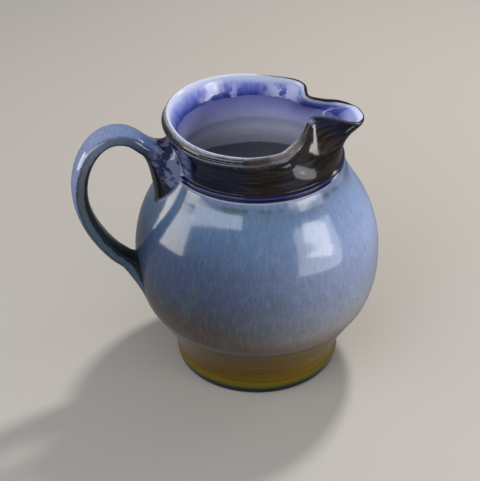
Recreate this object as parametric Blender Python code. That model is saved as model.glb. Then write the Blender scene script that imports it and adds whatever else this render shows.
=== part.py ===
"""A glazed stoneware pitcher, as the pieces of clay that a potter joins to make it.

Frame: +Z up, origin at the centre of the flat underside, on the axis that the pot was thrown on.
+X points to the pouring lip and -X to the handle. The design is written in millimetres and is
turned into Blender's metres when each mesh is made.
"""

import math

import bmesh
import bpy
import numpy as np

MM = 0.001
GAP = 0.3  # clearance between neighbouring pieces
WALL = 4.6  # thickness of the thrown wall
SEGMENTS = 48  # facets round the pot

# Foot: the band under the edge of the blue glaze, with the floor of the pot inside it.
FOOT_TOP = 39.7
FLOOR_THICKNESS = 7.0
FLOOR_FILLET = (6.0, 2.0)  # how far in, and how high, the wall rounds into the floor
FOOT_OUTLINE = ((47.9, 0.0), (49.3, 1.3), (49.5, 4.5), (49.1, 9.0), (49.9, 13.5), (51.9, 19.0),
                (54.9, 25.0), (59.2, 32.0), (63.9, FOOT_TOP))
FOOT_RINGS = 8

# Belly: from the edge of the glaze to the foot of the neck. Its widest ring sets the pot's width.
BELLY_RADIUS = 73.0
NECK_FOOT = 135.4
BELLY_OUTLINE = ((63.9, FOOT_TOP), (67.8, 46.0), (70.6, 54.0), (72.4, 63.0), (BELLY_RADIUS, 73.0),
                 (72.6, 83.0), (70.9, 93.0), (67.9, 102.5), (63.5, 111.5), (58.6, 119.5),
                 (54.2, 127.5), (50.8, NECK_FOOT))
BELLY_RINGS = 12

# Neck: two beads with a groove between them, then a wall that leans out to the rim.
BEADS = ((50.9, NECK_FOOT), (51.1, 136.3), (49.9, 137.5), (51.1, 139.2))
BEAD_FULLNESS = 0.6  # how much further the wall is thrown out at a bead than its bore is
NECK_START = 141.2
NECK_RADIUS = 49.6
NECK_SWELL = 0.45  # share of the neck's height that pulls its wall straight up
LIP_PULL = 0.5  # share of its lean that the wall has still to go, over its last third
RIM_HEIGHT = 165.2
RIM_HALF_LENGTH = 45.9  # of the middle of the lip, along the handle and the spout
RIM_HALF_WIDTH = 50.6
RIM_SQUARENESS = 0.95  # 1 is a true oval
RIM_MIDDLE = (-5.5, 1.1)
RIM_TURN = 7.9  # degrees by which the oval lies askew
OVAL_FROM = 62.0  # degrees from the spout: the far side leaves the oval here
OVAL_TO = 262.0  # and the near side leaves it here
OVAL_STEPS = 18

# The pulled lip, as points along its edge: x, y, drop under the rim, and the direction in degrees
# of the point on the neck's foot that the clay was pulled from.
NEAR_LIP = ((3.0, -47.0, 0.0, -86.0), (11.4, -39.2, 0.2, -77.5), (17.6, -31.2, 0.4, -69.0),
            (23.2, -22.2, 0.5, -61.0), (27.4, -13.3, 0.3, -53.0), (32.0, -8.8, 0.4, -45.5),
            (42.0, -9.2, 2.4, -37.0), (53.0, -10.6, 5.8, -27.0), (60.6, -8.2, 8.6, -15.0))
LIP_TIP = ((64.3, -0.2, 9.6, 0.0),)
FAR_LIP = ((62.0, 8.6, 7.4, 16.0), (53.5, 12.4, 4.6, 28.0), (43.5, 13.8, 3.2, 38.0),
           (35.6, 18.4, 2.0, 47.0), (36.4, 29.6, 0.4, 55.0), (30.4, 38.3, 0.0, 64.0))
SPOUT_FROM = 5  # counting along the lip's points, the near pinch
SPOUT_TO = 13  # and the far pinch
SPOUT_THINNING = 0.38  # share of the wall's thickness that pulling takes from the lip
THINNING_ENDS = (80.0, 60.0)  # degrees from the spout where the thinning starts and is full
NECK_WALL = 5.0
NECK_ROWS = np.array([0.0, 0.09, 0.17, 0.20, 0.40, 0.62, 0.82, 1.0])  # shares of the way up it
SPOUT_ROOT_ROW = 2  # the spout leaves the collar above this row
COLUMN_CLEARANCE = 0.03  # in steps along the lip's points, on each side of a pinch
PLACE_STEP = 0.3  # steps for measuring which way the wall faces, along the lip
ROW_STEP = 0.05  # and up the wall
NECK_SAMPLES = 12  # points for reading the neck's radius at a height
UPRIGHT_FROM = 42.0  # degrees from the spout where the wall under the lip stands upright
TIP_RISE = 2.5  # how far the wall climbs over its last third, at the tip of the spout
WALL_RISE = 9.0  # and away from it

# Handle: a pulled strap whose middle line lies in the plane of the pot's axis and the spout.
HANDLE_PATH = ((66.0, 153.8), (74.5, 160.4), (84.5, 161.7), (93.4, 156.8), (100.2, 146.6),
               (103.6, 133.5), (103.3, 120.0), (99.6, 107.0), (93.6, 95.2), (86.4, 85.2),
               (80.0, 79.0))
STRAP_WIDTH = 17.4
STRAP_THICKNESS = 9.2
STRAP_SQUARENESS = 0.8  # 1 is an oval section, and less has flatter faces
HANDLE_STEPS = 22
STRAP_FACETS = 14
STRAP_TURNS = np.linspace(0, 2 * math.pi, STRAP_FACETS, endpoint=False)

# Joins: height of the middle on the pot, half height, half width, and the reach of the two curves.
UPPER_JOIN = (135.5, 21.0, 18.0, (26.0, 1.2))
LOWER_JOIN = (56.0, -23.0, 12.0, (14.0, -1.2))
JOIN_TAPER = 0.25  # share by which a join is narrower at its lower end and wider at its upper end
JOIN_CLEARANCE = 0.65  # from the facets of the pot
JOIN_SPREAD = 0.35  # share by which the edge of a join flares where it meets the pot
BEAD_REACH = 1.4  # a join bridges hollows narrower than twice this
JOIN_STEPS = 8
JOIN_BACK = (0.75, 0.5, 0.25)  # rings of the hidden face against the pot, as shares of its edge

SMOOTH_BELOW = 40.0  # degrees between faces that still shade smoothly


def main():
    clear_scene()
    make_foot()
    make_belly()
    make_neck_and_spout()
    make_handle()


def clear_scene():
    for old in list(bpy.data.objects):
        bpy.data.objects.remove(old, do_unlink=True)


# ---------------------------------------------------------------- curves and meshes


def smooth(points, count, closed=False):
    """`count` points along a Catmull-Rom curve through `points`, evenly spread by control point."""
    points = np.asarray(points, float)
    spans = len(points) if closed else len(points) - 1
    out = []
    for position in np.linspace(0, spans, count, endpoint=not closed):
        start = min(int(position), spans - 1)
        if closed:
            a, b, c, d = (points[(start + k) % len(points)] for k in (-1, 0, 1, 2))
        else:
            b, c = points[start], points[start + 1]
            a = points[start - 1] if start else 2 * b - c
            d = points[start + 2] if start + 2 < len(points) else 2 * c - b
        t = position - start
        out.append(0.5 * (2 * b + (c - a) * t + (2 * a - 5 * b + 4 * c - d) * t**2
                          + (3 * b - a - 3 * c + d) * t**3))
    return np.array(out)


def squared(swing, squareness):
    """A sine or cosine that lingers at its ends, which makes an oval squarer."""
    return np.sign(swing) * np.abs(swing) ** squareness


def offset_outline(outline, distance):
    """A profile of (radius, height) points moved sideways by `distance`, to its left as it climbs."""
    outline = np.asarray(outline, float)
    along = np.gradient(outline, axis=0)
    along /= np.linalg.norm(along, axis=1)[:, None]
    return outline + distance * np.stack([-along[:, 1], along[:, 0]], 1)


def ring(radius, height, segments=SEGMENTS):
    turn = np.linspace(0, 2 * math.pi, segments, endpoint=False)
    return np.stack([radius * np.cos(turn), radius * np.sin(turn), np.full(segments, height)], 1)


def glaze(name, colour, roughness):
    """A glossy ceramic surface."""
    material = bpy.data.materials.new(name)
    material.use_nodes = True
    shader = material.node_tree.nodes["Principled BSDF"]
    shader.inputs["Base Color"].default_value = (*colour, 1.0)
    shader.inputs["Roughness"].default_value = roughness
    shader.inputs["Metallic"].default_value = 0.0
    return material


def solid(name, points, faces, material):
    """One closed object from points in millimetres, its faces turned outwards."""
    mesh = bpy.data.meshes.new(name)
    mesh.from_pydata((np.asarray(points) * MM).tolist(), [], faces)
    edit = bmesh.new()
    edit.from_mesh(mesh)
    bmesh.ops.recalc_face_normals(edit, faces=edit.faces)
    edit.to_mesh(mesh)
    edit.free()
    mesh.shade_smooth()
    mesh.set_sharp_from_angle(angle=math.radians(SMOOTH_BELOW))
    mesh.materials.append(material)
    made = bpy.data.objects.new(name, mesh)
    bpy.context.scene.collection.objects.link(made)
    return made


def joined_rings(rings, capped=()):
    """Points and faces of a tube through `rings`. An index in `capped` closes that end."""
    size = len(rings[0])
    points = np.concatenate(rings)
    faces = []
    for row in range(len(rings) - 1):
        for k in range(size):
            near, far = row * size + k, row * size + (k + 1) % size
            faces.append((near, far, far + size, near + size))
    if 0 in capped:
        faces.append(tuple(range(size)))
    if -1 in capped:
        faces.append(tuple(range(len(points) - size, len(points))))
    return points, faces


def turned_shell(name, outline, material):
    """A ring of wall turned round the axis, from a closed outline of (radius, height) points."""
    rings = [ring(radius, height) for radius, height in outline]
    points, faces = joined_rings(rings + [rings[0]])
    last = len(rings) * SEGMENTS
    faces = [tuple(k - last if k >= last else k for k in face) for face in faces]
    solid(name, points[:last], faces, material)


# ---------------------------------------------------------------- foot and belly


def make_foot():
    outside = smooth(FOOT_OUTLINE[1:], FOOT_RINGS)
    inside = offset_outline(outside, WALL)
    inside = inside[inside[:, 1] > FLOOR_THICKNESS + FLOOR_FILLET[1]]
    inside[-1, 1] = outside[-1, 1]
    profile = [FOOT_OUTLINE[0], *outside, *inside[::-1]]
    floor = (inside[0][0] - FLOOR_FILLET[0], FLOOR_THICKNESS)
    rings = [ring(radius, height) for radius, height in [*profile, floor]]
    points, faces = joined_rings(rings, capped=(0, -1))
    solid("foot", points, faces, glaze("olive_glaze", (0.13, 0.10, 0.03), 0.3))


def make_belly():
    outside = smooth(BELLY_OUTLINE, BELLY_RINGS)
    inside = offset_outline(outside, WALL)
    inside[0, 1] = outside[0, 1]
    inside[-1, 1] = outside[-1, 1]
    outside[0, 1] += GAP
    inside[0, 1] += GAP
    outside[-1, 1] -= GAP
    inside[-1, 1] -= GAP
    turned_shell("belly", [*outside, *inside[::-1]], glaze("blue_glaze", (0.20, 0.26, 0.42), 0.12))


# ---------------------------------------------------------------- neck and spout


def rim_controls():
    """Points round the middle of the lip: x, y, height, then the x and y of the neck's foot under each."""
    turn = np.radians(np.linspace(OVAL_FROM, OVAL_TO, OVAL_STEPS))
    askew = math.radians(RIM_TURN)
    along = RIM_HALF_LENGTH * squared(np.cos(turn - askew), RIM_SQUARENESS)
    across = RIM_HALF_WIDTH * squared(np.sin(turn - askew), RIM_SQUARENESS)
    x = RIM_MIDDLE[0] + along * math.cos(askew) - across * math.sin(askew)
    y = RIM_MIDDLE[1] + along * math.sin(askew) + across * math.cos(askew)
    oval = np.column_stack([x, y, np.zeros(OVAL_STEPS), np.degrees(np.arctan2(y, x)) % 360])
    x, y, drop, degrees = np.array([*NEAR_LIP, *LIP_TIP, *FAR_LIP, *oval]).T
    turn = np.radians(degrees)
    return np.stack([x, y, RIM_HEIGHT - drop, np.cos(turn), np.sin(turn)], 1)


def neck_columns():
    """Places round the rim, in control points. Each pinch gets two, with the clearance between."""
    columns = []
    for step in range(2 * len(rim_controls())):
        place = step / 2
        if place in (SPOUT_FROM, SPOUT_TO):
            columns += [place - COLUMN_CLEARANCE, place + COLUMN_CLEARANCE]
        else:
            columns.append(place)
    return np.array(columns)


def at_places(controls, places):
    """The closed Catmull-Rom curve through `controls` at the given places."""
    start = np.floor(places).astype(int)
    t = (places - start)[:, None]
    a, b, c, d = (controls[(start + k) % len(controls)] for k in (-1, 0, 1, 2))
    return 0.5 * (2 * b + (c - a) * t + (2 * a - 5 * b + 4 * c - d) * t**2
                  + (3 * b - a - 3 * c + d) * t**3)


def neck_middle(places, heights):
    """Rows of points halfway through the neck's wall, from its foot to the middle of the lip."""
    lip = at_places(rim_controls(), places)
    toward = lip[:, 3:] / np.linalg.norm(lip[:, 3:], axis=1)[:, None]
    lip = lip[:, :3]
    foot = np.column_stack([toward * (NECK_RADIUS - NECK_WALL / 2), np.full(len(lip), NECK_START)])
    lean = lip[:, :2] - foot[:, :2]
    from_spout = np.degrees(np.abs(np.arctan2(toward[:, 1], toward[:, 0])))
    upright = np.minimum(1.0, from_spout / UPRIGHT_FROM) ** 1.5
    low = foot + [0.0, 0.0, NECK_SWELL * (RIM_HEIGHT - NECK_START)]
    high = lip.copy()
    high[:, :2] -= lean * LIP_PULL
    high[:, 2] -= TIP_RISE + (WALL_RISE - TIP_RISE) * upright
    rows = []
    for t in heights:
        rows.append((1 - t)**3 * foot + 3 * t * (1 - t)**2 * low + 3 * t**2 * (1 - t) * high
                    + t**3 * lip)
    return np.array(rows)


def neck_outward(places, heights):
    """Unit vectors out of the pot at the points of neck_middle."""
    along = neck_middle(places + PLACE_STEP, heights) - neck_middle(places - PLACE_STEP, heights)
    up = neck_middle(places, heights + ROW_STEP) - neck_middle(places, heights - ROW_STEP)
    normal = np.cross(along, up)
    return normal / np.linalg.norm(normal, axis=2)[:, :, None]


def wall_halves(middle):
    """Half the thickness of the neck's wall at the points of neck_middle. The lip is pulled thin."""
    from_spout = np.degrees(np.abs(np.arctan2(middle[0, :, 1], middle[0, :, 0])))
    start, full = THINNING_ENDS
    share = np.clip((start - from_spout) / (start - full), 0.0, 1.0)
    thinning = SPOUT_THINNING * NECK_ROWS[:, None] * share * share * (3 - 2 * share)
    return NECK_WALL / 2 * (1 - thinning)[:, :, None]


def neck_grids():
    """The outer and inner faces of the neck, beads included, as grids of points."""
    middle = neck_middle(neck_columns(), NECK_ROWS)
    half = neck_outward(neck_columns(), NECK_ROWS) * wall_halves(middle)
    outer = middle + half
    inner = middle - half
    toward = middle[0, :, :2] / np.linalg.norm(middle[0, :, :2], axis=1)[:, None]
    for radius, height in BEADS[::-1]:
        level = np.full(len(toward), height + (GAP if height == NECK_FOOT else 0.0))
        outer = np.concatenate([[np.column_stack([toward * radius, level])], outer])
        bore = min(NECK_RADIUS, radius - BEAD_FULLNESS) - NECK_WALL
        inner = np.concatenate([[np.column_stack([toward * bore, level])], inner])
    return outer, inner


def walled(name, outer, inner, cells, material):
    """A solid wall between two grids, over the chosen (row, column) cells. Columns run round."""
    columns = outer.shape[1]
    used = {}
    faces = []
    edges = set()

    def point(row, column, side):
        return used.setdefault((row, column % columns, side), len(used))

    for row, column in cells:
        corners = ((row, column), (row, column + 1), (row + 1, column + 1), (row + 1, column))
        faces.append(tuple(point(r, c, 0) for r, c in corners))
        faces.append(tuple(point(r, c, 1) for r, c in reversed(corners)))
        for k in range(4):
            ends = tuple((r, c % columns) for r, c in (corners[k], corners[(k + 1) % 4]))
            if ends[::-1] in edges:
                edges.remove(ends[::-1])
            else:
                edges.add(ends)
    for (a, b), (c, d) in sorted(edges):
        faces.append((point(a, b, 0), point(a, b, 1), point(c, d, 1), point(c, d, 0)))
    points = [(inner if side else outer)[row, column] for row, column, side in used]
    solid(name, points, faces, material)


def make_neck_and_spout():
    outer, inner = neck_grids()
    columns = outer.shape[1]
    first = 2 * SPOUT_FROM + 1  # the column just inside the near pinch
    last = 2 * SPOUT_TO + 1  # and the one just inside the far pinch
    parted = len(BEADS) + SPOUT_ROOT_ROW  # the spout starts above this row
    neck, spout = [], []
    for row in range(outer.shape[0] - 1):
        for column in range(columns):
            in_lip = first <= column < last
            by_lip = first - 1 <= column <= last
            if row < parted or not by_lip:
                neck.append((row, column))
            elif row > parted and in_lip:
                spout.append((row, column))
    material = glaze("neck_glaze", (0.04, 0.05, 0.10), 0.1)
    walled("neck_collar", outer, inner, neck, material)
    walled("spout", outer, inner, spout, glaze("spout_glaze", (0.06, 0.07, 0.12), 0.1))


# ---------------------------------------------------------------- handle and its joins


def strap_section(centre, along, width, thickness):
    """A closed ring of points: a flattened oval with its width across the handle's plane."""
    outside = np.array([along[2], 0.0, -along[0]])
    across = squared(np.sin(STRAP_TURNS), STRAP_SQUARENESS)
    through = squared(np.cos(STRAP_TURNS), STRAP_SQUARENESS)
    return (centre + across[:, None] * np.array([0.0, width / 2, 0.0])
            + through[:, None] * outside * thickness / 2)


def handle_line():
    """Points along the middle of the strap, and the unit vectors along it."""
    path = smooth(HANDLE_PATH, HANDLE_STEPS)
    points = np.column_stack([-path[:, 0], np.zeros(len(path)), path[:, 1]])
    along = np.gradient(points, axis=0)
    return points, along / np.linalg.norm(along, axis=1)[:, None]


def neck_outline(turn):
    """The (radius, height) points up the outside of the neck, in a direction away from the spout."""
    lip = rim_controls()
    away = np.degrees(np.arctan2(lip[:, 4], lip[:, 3])) % 360
    oval = len(lip) - OVAL_STEPS
    place = np.interp(math.degrees(turn), away[oval:], np.arange(oval, len(lip)))
    middle = neck_middle(np.array([place]), np.linspace(0.0, 1.0, NECK_SAMPLES))[:, 0]
    return [(math.hypot(x, y) + NECK_WALL / 2, z) for x, y, z in middle]


def pot_radius(turn, height):
    """The outside of the pot in a direction and at a height, bridging the grooves."""
    outline = [*BELLY_OUTLINE, *BEADS[1:], *neck_outline(turn)[1:]]
    radius, level = np.array(outline).T
    return max(np.interp(height + step, level, radius) for step in (-BEAD_REACH, 0.0, BEAD_REACH))


def footprint(middle, half_height, half_width, share):
    """A ring on the pot's surface, `share` of the way from the middle of a join to its edge."""
    ring_points = []
    for turn in STRAP_TURNS:
        height = middle + share * half_height * math.cos(turn)
        tapered = half_width * (1 + JOIN_TAPER * (height - middle) / abs(half_height))
        aside = share * tapered * math.sin(turn)
        swing = aside / pot_radius(math.pi, height)
        radius = pot_radius(math.pi - swing, height) + JOIN_CLEARANCE
        ring_points.append((-radius * math.cos(swing), radius * math.sin(swing), height))
    return np.array(ring_points)


def make_join(name, end_ring, along, middle, half_height, half_width, reach, material):
    """Clay that fairs the end of the strap into the wall of the pot."""
    foot = footprint(middle, half_height, half_width, 1.0)
    spread = footprint(middle, half_height, half_width, 1.0 + JOIN_SPREAD)
    into = (spread - foot) * reach[1]
    start = end_ring + along * GAP
    rings = []
    for t in np.linspace(0.0, 1.0, JOIN_STEPS):
        rings.append((2 * t**3 - 3 * t**2 + 1) * start + (t**3 - 2 * t**2 + t) * along * reach[0]
                     + (3 * t**2 - 2 * t**3) * foot + (t**3 - t**2) * into)
    for share in JOIN_BACK:
        rings.append(footprint(middle, half_height, half_width, share))
    points, faces = joined_rings(rings, capped=(0, -1))
    solid(name, points, faces, material)


def make_handle():
    points, along = handle_line()
    rings = [strap_section(point, way, STRAP_WIDTH, STRAP_THICKNESS)
             for point, way in zip(points, along)]
    mesh_points, faces = joined_rings(rings, capped=(0, -1))
    material = glaze("handle_glaze", (0.25, 0.30, 0.45), 0.12)
    solid("handle", mesh_points, faces, material)
    make_join("upper_handle_join", rings[0], -along[0], *UPPER_JOIN, material)
    make_join("lower_handle_join", rings[-1], along[-1], *LOWER_JOIN, material)


main()
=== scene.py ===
"""The looks of a glazed stoneware pitcher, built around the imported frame.

The shapes are worked out in millimetres from the same outlines as the CAD model, only finer, and
turned into metres when each mesh is made. +Z is up, +X is the side of the lip, -X of the handle.
"""

import math

import bpy
import numpy as np
from mathutils import Matrix, Vector


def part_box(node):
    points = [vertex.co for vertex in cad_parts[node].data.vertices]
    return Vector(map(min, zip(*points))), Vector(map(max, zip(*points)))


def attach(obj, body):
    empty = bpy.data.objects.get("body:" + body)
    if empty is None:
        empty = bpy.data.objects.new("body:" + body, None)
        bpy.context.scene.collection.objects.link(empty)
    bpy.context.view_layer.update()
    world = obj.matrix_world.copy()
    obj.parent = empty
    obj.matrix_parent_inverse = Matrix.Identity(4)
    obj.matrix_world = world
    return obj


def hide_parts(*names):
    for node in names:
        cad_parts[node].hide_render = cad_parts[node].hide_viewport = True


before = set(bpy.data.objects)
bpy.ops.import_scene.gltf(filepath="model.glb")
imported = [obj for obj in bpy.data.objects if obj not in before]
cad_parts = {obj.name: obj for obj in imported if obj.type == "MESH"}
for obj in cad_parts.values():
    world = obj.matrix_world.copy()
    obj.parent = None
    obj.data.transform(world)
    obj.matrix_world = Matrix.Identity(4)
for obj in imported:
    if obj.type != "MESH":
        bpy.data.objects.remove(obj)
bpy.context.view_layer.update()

MM = 0.001


def node_box(node):
    """The lowest and highest corner of a CAD node, in millimetres."""
    low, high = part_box(node)
    return np.array(low) / MM, np.array(high) / MM


# ---------------------------------------------------------------- sizes, in millimetres

CAD_GAP = 0.3  # how far apart the CAD pieces stand
BELLY_LOW, BELLY_HIGH = node_box("belly")
BELLY_RADIUS = (BELLY_HIGH[1] - BELLY_LOW[1]) / 2
FOOT_TOP = node_box("foot")[1][2]
NECK_FOOT = node_box("neck_collar")[0][2] - CAD_GAP
WALL = 4.6
FLOOR_THICKNESS = 7.0
RING_ROOM = 0.06  # keeps the throwing rings inside the CAD model's box

# Outlines as (radius, height) points for a smooth curve.
FOOT_OUTLINE = ((49.0, 1.4), (49.3, 2.6), (49.7, 4.6), (49.6, 6.6), (49.1, 8.6), (49.2, 10.4),
                (49.9, 13.5), (51.9, 19.0), (54.9, 25.0), (59.2, 32.0), (63.9, FOOT_TOP))
BELLY_OUTLINE = ((63.9, FOOT_TOP), (67.8, 46.0), (70.6, 54.0), (72.4, 63.0),
                 (BELLY_RADIUS - RING_ROOM, 73.0), (72.6, 83.0), (70.9, 93.0),
                 (67.9, 102.5), (63.5, 111.5), (58.6, 119.5), (54.2, 127.5), (50.8, NECK_FOOT))
BEAD_OUTLINE = ((50.8, NECK_FOOT), (51.1, 136.2), (50.5, 136.9), (49.9, 137.5), (50.2, 138.1),
                (50.95, 138.7), (51.05, 139.5), (50.3, 140.4), (49.6, 141.2))
BASE_RADIUS = 47.9
UNDERSIDE_SHARES = (0.0, 0.04, 0.25, 0.5, 0.75, 0.97)  # of the base's radius
CHAMFER = ((BASE_RADIUS, 0.0), (48.5, 0.5))
BOWL_OUTLINE = ((2.0, FLOOR_THICKNESS), (14.0, 7.1), (28.0, 7.4), (37.0, 8.4), (42.4, 11.6),
                (46.2, 18.0), (50.3, 26.0), (54.9, 33.4), (59.6, FOOT_TOP))
THROAT_OUTLINE = ((46.0, NECK_FOOT), (44.9, 138.4), (44.6, 141.2))
# The depth and the spacing of the throwing rings.
FOOT_RINGS = (0.05, 3.1)
BELLY_RINGS = (0.035, 7.3)
NECK_RINGS = (0.008, 5.3)
INSIDE_RINGS = (0.05, 5.4)

# Neck and lip.
NECK_START = 141.2
NECK_RADIUS = 49.6
NECK_WALL = 5.0
RIM_HEIGHT = 165.0  # just under the rim of the CAD model
RIM_HALF_LENGTH = 45.9
RIM_HALF_WIDTH = 50.6
RIM_SQUARENESS = 0.95
RIM_MIDDLE = (-5.5, 1.1)
RIM_TURN = 7.9  # degrees by which the oval lies askew
OVAL_FROM = 62.0
OVAL_TO = 262.0
OVAL_STEPS = 18
# Points along the pulled lip: x, y, drop under the rim, degrees of the clay it was pulled from.
NEAR_LIP = ((3.0, -47.0, 0.0, -86.0), (11.4, -39.2, 0.2, -77.5), (17.6, -31.2, 0.4, -69.0),
            (23.2, -22.2, 0.5, -61.0), (27.4, -13.3, 0.3, -53.0), (32.0, -8.8, 0.4, -45.5),
            (42.0, -9.2, 2.4, -37.0), (53.0, -10.6, 5.8, -27.0), (60.6, -8.2, 8.6, -15.0))
LIP_TIP = ((64.3, -0.2, 9.6, 0.0),)
FAR_LIP = ((62.0, 8.6, 7.4, 16.0), (53.5, 12.4, 4.6, 28.0), (43.5, 13.8, 3.2, 38.0),
           (35.6, 18.4, 2.0, 47.0), (36.4, 29.6, 0.4, 55.0), (30.4, 38.3, 0.0, 64.0))
SPOUT_FROM = 5  # the places round the rim between which the lip is the spout
SPOUT_TO = 13
SPOUT_ROOT = 0.185  # share of the way up the neck where the spout leaves the collar
NECK_STRAIGHT = 0.45  # share of the neck's height through which it heads straight up
NECK_LEAN = 0.5  # share of its lean that is left for the lip
UPRIGHT_FROM = 42.0  # degrees from the spout where the wall meets the lip upright
UPRIGHT_POWER = 1.5
TIP_RISE = 2.5  # how far the wall climbs into the lip at the tip
WALL_RISE = 9.0  # and away from it
# The rolled lip, as (out from the middle of the wall, along the wall from its top).
LIP_OUTSIDE = ((2.5, -8.4), (2.3, -7.2), (2.15, -6.4), (2.5, -5.4), (3.15, -4.6), (3.3, -3.7),
               (2.9, -2.9), (2.2, -2.55), (1.8, -2.25), (1.3, -1.5), (0.5, -0.75), (-0.3, -0.3),
               (-1.0, -0.1))
LIP_INSIDE = ((-2.5, -8.4), (-2.5, -6.0), (-2.5, -4.0), (-2.45, -2.4), (-2.2, -1.0),
              (-1.7, -0.4), (-1.0, -0.1))
SPOUT_OUTSIDE = ((2.5, -8.4), (2.5, -7.6), (2.5, -6.8), (2.5, -6.0), (2.5, -5.2), (2.4, -4.4),
                 (2.3, -3.6), (2.15, -2.9), (1.95, -2.2), (1.5, -1.3), (0.8, -0.65), (-0.1, -0.25),
                 (-1.0, -0.1))
BEAD_ENDS = (80.0, 60.0)  # degrees from the spout where the rolled bead starts and stops fading
SPOUT_THINNING = 0.38

# Handle.
HANDLE_PATH = ((66.0, 153.8), (74.5, 160.4), (84.5, 161.7), (93.4, 156.8), (100.2, 146.6),
               (103.6, 133.5), (103.3, 120.0), (99.6, 107.0), (93.6, 95.2), (86.4, 85.2),
               (80.0, 79.0))
STRAP_WIDTH = 17.4
STRAP_THICKNESS = 9.05
STRAP_SQUARENESS = 0.8
# Joins: middle height, half height and half width on the pot, and the reach of the two curves.
UPPER_JOIN = (135.5, 21.0, 18.0, (26.0, 1.2))
LOWER_JOIN = (56.0, -23.0, 12.0, (14.0, -1.2))
JOIN_TAPER = 0.25  # how much wider a join is at its top than at its middle
JOIN_SPREAD = 0.35  # how far past its edge a join aims, as a share of its size
JOIN_SINK = 0.35  # how far the edge of a join lies under the glaze of the pot
HIDDEN_SINK = 1.4  # and its unseen middle

# How finely the meshes are made.
COLUMNS_PER_POINT = 8
FOOT_ROWS = 56
BELLY_ROWS = 90
BEAD_ROWS = 22
NECK_ROWS = 26
LIP_ROWS = 26
STRAP_COLUMNS = 56
HANDLE_ROWS = 110
JOIN_ROWS = 26
JOIN_HIDDEN_SHARES = (0.8, 0.55, 0.3)
NECK_SAMPLES = 241
PLACE_STEP = 0.3  # steps to each side for the direction of the neck's wall
SHARE_STEP = 0.02
WIDE_ROW = 80  # a row of the belly that gives the direction of each column
LOWEST_ROW = 16  # the lowest row whose radius is asked for
STRAP_TURNS = np.linspace(0, 2 * math.pi, STRAP_COLUMNS, endpoint=False)


# ---------------------------------------------------------------- curves


def smooth(points, count):
    """`count` points along a Catmull-Rom curve through `points`, evenly spread by control point."""
    points = np.asarray(points, float)
    spans = len(points) - 1
    out = []
    for position in np.linspace(0, spans, count):
        start = min(int(position), spans - 1)
        b, c = points[start], points[start + 1]
        a = points[start - 1] if start else 2 * b - c
        d = points[start + 2] if start + 2 < len(points) else 2 * c - b
        t = position - start
        out.append(0.5 * (2 * b + (c - a) * t + (2 * a - 5 * b + 4 * c - d) * t**2
                          + (3 * b - a - 3 * c + d) * t**3))
    return np.array(out)


def evenly(points, count):
    """`count` points at equal distances along a line of points."""
    points = np.asarray(points, float)
    steps = np.linalg.norm(np.diff(points, axis=0), axis=1)
    along = np.concatenate([[0.0], np.cumsum(steps)])
    wanted = np.linspace(0.0, along[-1], count)
    return np.stack([np.interp(wanted, along, column) for column in points.T], 1)


def inner_wall(outline):
    """An outline moved into the pot by the thickness of its wall."""
    along = np.gradient(np.array(outline), axis=0)
    along /= np.linalg.norm(along, axis=1)[:, None]
    return outline + WALL * np.stack([-along[:, 1], along[:, 0]], 1)


def squared(swing, squareness):
    """A sine or cosine that lingers at its ends, which makes an oval squarer."""
    return np.sign(swing) * np.abs(swing) ** squareness


def at_places(controls, places):
    """The closed Catmull-Rom curve through `controls` at the given places."""
    start = np.floor(places).astype(int)
    t = (places - start)[:, None]
    a, b, c, d = (controls[(start + k) % len(controls)] for k in (-1, 0, 1, 2))
    return 0.5 * (2 * b + (c - a) * t + (2 * a - 5 * b + 4 * c - d) * t**2
                  + (3 * b - a - 3 * c + d) * t**3)


def ripple(height, turn, depth, pitch):
    """Throwing rings: shallow ridges round the pot, uneven in height and slowly wandering."""
    wander = 0.6 * np.sin(turn + 0.31 * height) + 0.4 * np.sin(2 * turn - 0.17 * height)
    phase = 2 * math.pi * height / pitch + wander
    return depth * (0.6 * np.sin(phase) + 0.4 * np.sin(1.73 * phase + 1.1))


# ---------------------------------------------------------------- the pot as two grids


def rim_controls():
    """Points round the middle of the lip: x, y, height, then the direction of the clay beneath."""
    turn = np.radians(np.linspace(OVAL_FROM, OVAL_TO, OVAL_STEPS))
    askew = math.radians(RIM_TURN)
    along = RIM_HALF_LENGTH * squared(np.cos(turn - askew), RIM_SQUARENESS)
    across = RIM_HALF_WIDTH * squared(np.sin(turn - askew), RIM_SQUARENESS)
    x = RIM_MIDDLE[0] + along * math.cos(askew) - across * math.sin(askew)
    y = RIM_MIDDLE[1] + along * math.sin(askew) + across * math.cos(askew)
    oval = np.column_stack([x, y, np.zeros(OVAL_STEPS), np.degrees(np.arctan2(y, x)) % 360])
    x, y, drop, degrees = np.array([*NEAR_LIP, *LIP_TIP, *FAR_LIP, *oval]).T
    turn = np.radians(degrees)
    return np.stack([x, y, RIM_HEIGHT - drop, np.cos(turn), np.sin(turn)], 1)


def neck_middle(places, shares):
    """Points halfway through the neck's wall, at shares of the way from its foot to the lip."""
    lip = at_places(rim_controls(), places)
    toward = lip[:, 3:] / np.linalg.norm(lip[:, 3:], axis=1)[:, None]
    lip = lip[:, :3]
    foot = np.column_stack([toward * (NECK_RADIUS - NECK_WALL / 2), np.full(len(lip), NECK_START)])
    lean = lip[:, :2] - foot[:, :2]
    from_spout = np.degrees(np.abs(np.arctan2(toward[:, 1], toward[:, 0])))
    upright = np.minimum(1.0, from_spout / UPRIGHT_FROM) ** UPRIGHT_POWER
    low = foot + [0.0, 0.0, NECK_STRAIGHT * (RIM_HEIGHT - NECK_START)]
    high = lip.copy()
    high[:, :2] -= lean * NECK_LEAN
    high[:, 2] -= TIP_RISE + (WALL_RISE - TIP_RISE) * upright
    rows = [(1 - t)**3 * foot + 3 * t * (1 - t)**2 * low + 3 * t**2 * (1 - t) * high + t**3 * lip
            for t in shares]
    return np.array(rows)


def unit(vectors):
    return vectors / np.maximum(np.linalg.norm(vectors, axis=-1, keepdims=True), 1e-9)


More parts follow.
